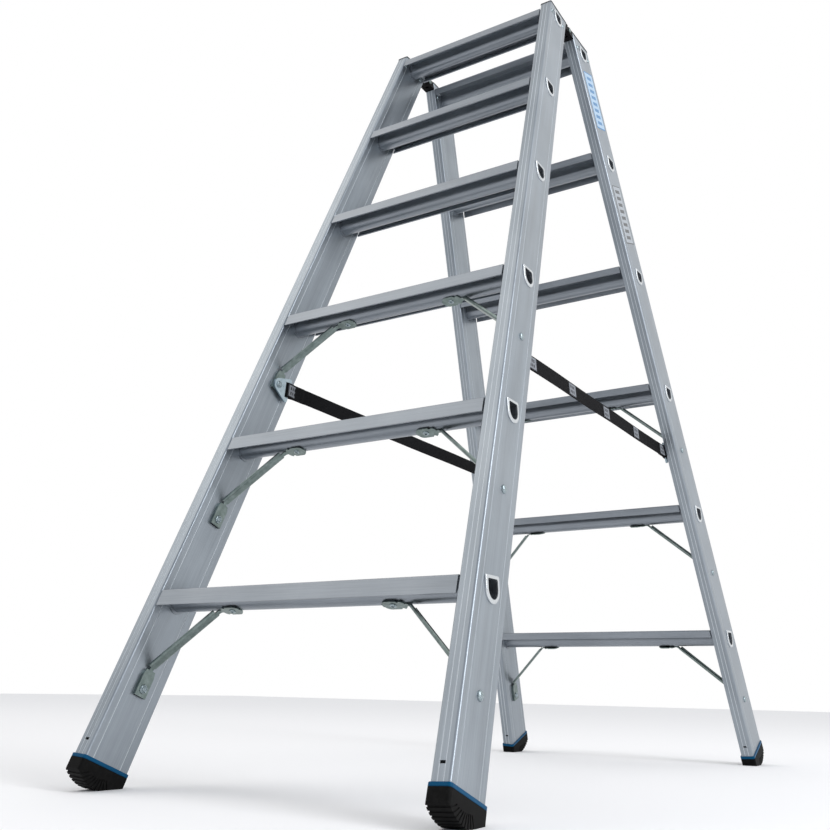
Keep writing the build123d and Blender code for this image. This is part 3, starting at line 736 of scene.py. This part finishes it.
def strap_path(reach):
    """Points (along Y, out of the ladder) of the webbing's middle line, from fold to fold."""
    angles = [math.pi * (step / turn_steps - 0.5) for step in range(turn_steps + 1)]
    turn = [(reach - loop_radius + loop_radius * math.cos(a), loop_radius * math.sin(a)) for a in angles]
    inner = [(reach - distance, -out) for distance, out in fold]
    outer = [(reach - distance, out) for distance, out in reversed(fold)]
    end = inner + turn + outer
    start = reach - fold_length - fold_step
    main = []
    for step in range(main_steps + 1):
        y = start - 2 * start * step / main_steps
        main.append((y, slack * math.sin(slack_waves * y / start)))
    return end + main + [(-y, out) for y, out in reversed(end)]


def fold_out(distance):
    """How far out the webbing beside a loop lies, a distance from the strap's end."""
    stops = fold + [(loop_radius, loop_radius)]
    for (far, low), (near, high) in zip(stops, stops[1:]):
        if near <= distance <= far:
            return high + (low - high) * (distance - near) / (far - near)
    return loop_radius if distance < loop_radius else layer


print("each end is sewn back for", round(fold_length / mm), "mm")

# %% Extrude a strip along a path
ribbon_columns = 6
selvage_share = 0.3


def ribbon(name, path, width, thickness, place):
    """Extrudes a strip along a path. place turns (along, out, across) into a point."""
    deselect()
    rows = [place(y, out, 0) for y, out in path]
    bpy.ops.mesh.primitive_grid_add(x_subdivisions=1, y_subdivisions=ribbon_columns, size=1)
    strip = bpy.context.object
    strip.name = name
    corner = place(*path[0], -width / 2)
    across = place(*path[0], width / 2) - corner
    first = rows[1] - rows[0]
    for vertex in strip.data.vertices:
        x, y = vertex.co.x + 0.5, vertex.co.y + 0.5
        vertex.co = corner + across * y + first * x
    bpy.ops.object.mode_set(mode="EDIT")
    bpy.ops.mesh.select_mode(type="VERT")
    bpy.ops.mesh.select_all(action="DESELECT")
    bpy.ops.object.mode_set(mode="OBJECT")
    for vertex in strip.data.vertices:
        vertex.select = (vertex.co - corner).dot(first) > 0.5 * first.length_squared
    bpy.ops.object.mode_set(mode="EDIT")
    bpy.ops.mesh.select_mode(type="EDGE")
    for here, there in zip(rows[1:], rows[2:]):
        bpy.ops.mesh.extrude_region_move(TRANSFORM_OT_translate={"value": there - here})
    bpy.ops.object.mode_set(mode="OBJECT")
    map_ribbon(strip, rows, corner, across.normalized())
    solid = strip.modifiers.new("thickness", "SOLIDIFY")
    solid.thickness = thickness
    solid.offset = 0
    selvage = strip.modifiers.new("selvage", "BEVEL")
    selvage.width = thickness * selvage_share
    selvage.segments = 2
    selvage.limit_method = "ANGLE"
    selvage.angle_limit = math.radians(60)
    return strip


def map_ribbon(strip, rows, corner, unit):
    """Gives a strip its UV map: metres along its rows, and metres across them."""
    lengths = [0.0]
    for here, there in zip(rows, rows[1:]):
        lengths.append(lengths[-1] + (there - here).length)
    uv = strip.data.uv_layers.active or strip.data.uv_layers.new()
    uv.name = "webbing"
    for loop in strip.data.loops:
        point = strip.data.vertices[loop.vertex_index].co
        offsets = [(point - row - unit * (point - row).dot(unit)).length for row in rows]
        nearest = offsets.index(min(offsets))
        uv.data[loop.index].uv = (lengths[nearest], (point - corner).dot(unit))


# %% [markdown]
# The webbing is a herringbone: a sine across a slope that turns back at every rib. The marks sewn
# on it are paler and finer, with a dark stitched rim and two rows of plain bars.

# %% Webbing
twill_slant = 1.6
fuzz_share = 0.6
height_to_shade = 0.62


def woven(name, dark, light, pitch, ribs):
    """Herringbone webbing, drawn on the UV map of a strap."""
    cloth = Finish(name, dark, 0.0, 0.82)
    cloth.shader.inputs["Specular IOR Level"].default_value = 0.12
    coordinates = cloth.node("ShaderNodeUVMap", {"uv_map": "webbing"}).outputs["UV"]
    along, across, _ = cloth.split(coordinates)
    rib = cloth.math("PINGPONG", across, ribs)
    slope = cloth.math("ADD", cloth.math("MULTIPLY", along, 1 / pitch),
                       cloth.math("MULTIPLY", rib, twill_slant / pitch))
    twill = cloth.spread(cloth.math("SINE", cloth.math("MULTIPLY", slope, 2 * math.pi)), 0, 1, -1, 1)
    fuzz = cloth.noise(cloth.place(), 2500.0, 3.0)
    height = cloth.math("ADD", twill, cloth.math("MULTIPLY", fuzz, fuzz_share))
    shade = cloth.math("MULTIPLY", height, height_to_shade)
    cloth.colour(cloth.ramp(shade, [(0.25, dark), (0.9, light)]))
    cloth.bump(height, 0.5, 0.0004)
    return cloth, along, across


webbing, _, _ = woven("black_webbing", (0.002, 0.002, 0.0025), (0.009, 0.009, 0.011), 1.4 * mm, 3.1 * mm)
print("webbing:", round(webbing_width / mm), "mm wide,", round(webbing_thickness / mm, 1), "mm thick")

# %% Sewn marks
mark_length = 28 * mm
mark_width = 21 * mm

# In shares of the mark: two rows of bars across it, and where the rows start and end along it
lower_row = (0.2, 0.42)
upper_row = (0.58, 0.8)
rows_run = (0.2, 0.8)
bars_along = 5.0
bar_share = 0.55
stitched_rim = 0.05
stitch_colour = (0.02, 0.02, 0.022, 1)
bar_colour = (0.03, 0.03, 0.033, 1)

label, label_along, label_across = woven("sewn_label", (0.16, 0.17, 0.19), (0.34, 0.36, 0.39),
                                         0.9 * mm, 1.5 * mm)
u = label.math("DIVIDE", label_along, mark_length)
v = label.math("DIVIDE", label_across, mark_width)
from_rim = label.math("MINIMUM", label.math("PINGPONG", u, 0.5), label.math("PINGPONG", v, 0.5))
bar_rows = either(label, inside(label, v, *lower_row), inside(label, v, *upper_row))
bar_steps = label.math("LESS_THAN", label.math("FRACT", label.math("MULTIPLY", u, bars_along)), bar_share)
in_bars = label.math("MULTIPLY", label.math("MULTIPLY", bar_rows, bar_steps), inside(label, u, *rows_run))
weave_colour = label.shader.inputs["Base Color"].links[0].from_socket
stitched = label.blend(inside(label, from_rim, 0.0, stitched_rim), weave_colour, stitch_colour)
label.colour(label.blend(in_bars, stitched, bar_colour))
print("mark:", round(mark_length / mm), "by", round(mark_width / mm), "mm")

# %% Where the marks sit
mark_pitch = 150 * mm
first_mark = -275 * mm
mark_count = 4
label_steps = 8
label_thickness = 0.5 * mm

# The label at each end: middle and length, from the strap's end
outer_end_mark = (27 * mm, 26 * mm)
inner_end_mark = (11 * mm, 19 * mm)


def label_line(middle_y, length, lift, reach):
    """Points of a label's middle line, lying on the webbing at a side's lift."""
    line = []
    for step in range(label_steps + 1):
        y = middle_y - length / 2 + length * step / label_steps
        distance = reach - abs(y)
        out = fold_out(distance) if distance < fold_length else 0
        line.append((y, math.copysign(out + abs(lift), lift)))
    return line


print("marks every", round(mark_pitch / mm), "mm, from", round(first_mark / mm), "mm")

# %% [markdown]
# The strap is sewn in place with the ladder open. Each strap and its marks hang on the front section,
# each with its own mesh.

for side in ("right", "left"):
    across = -1 if side == "left" else 1
    centre = middle(f"{side}_strap")
    width_way = Vector((-across * math.sin(strap_tilt), 0, math.cos(strap_tilt)))
    out_way = Vector((across * math.cos(strap_tilt), 0, math.sin(strap_tilt)))

    def on_strap(y, out, across_width):
        return Vector((centre.x, y, centre.z)) + out_way * out + width_way * across_width

    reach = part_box(f"{side}_strap")[1][1] - webbing_thickness / 2
    path = strap_path(reach)
    strap = ribbon(f"{side}_strap_webbing", path, webbing_width, webbing_thickness, on_strap)
    strap = finish_piece(strap, f"{side}_strap_webbing", "front_section", webbing.material)
    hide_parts(f"{side}_strap")
    parts = [strap]
    lift = webbing_thickness / 2 + label_thickness
    spots = [(first_mark + k * mark_pitch, mark_length, lift) for k in range(mark_count)]
    spots += [(reach - outer_end_mark[0], outer_end_mark[1], lift)]
    spots += [(inner_end_mark[0] - reach, inner_end_mark[1], -lift)]
    for number, (spot, length, lift) in enumerate(spots):
        mark = ribbon("mark", label_line(spot, length, lift, reach), mark_width, label_thickness, on_strap)
        name = f"{side}_strap_label_{number + 1}"
        parts.append(finish_piece(mark, name, "front_section", label.material))
    for part in parts:
        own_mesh(part)
    strap_length = 2 * reach + webbing_thickness
    print(side, "strap:", round(strap_length / mm), "mm end to end, marks:", len(parts) - 1)
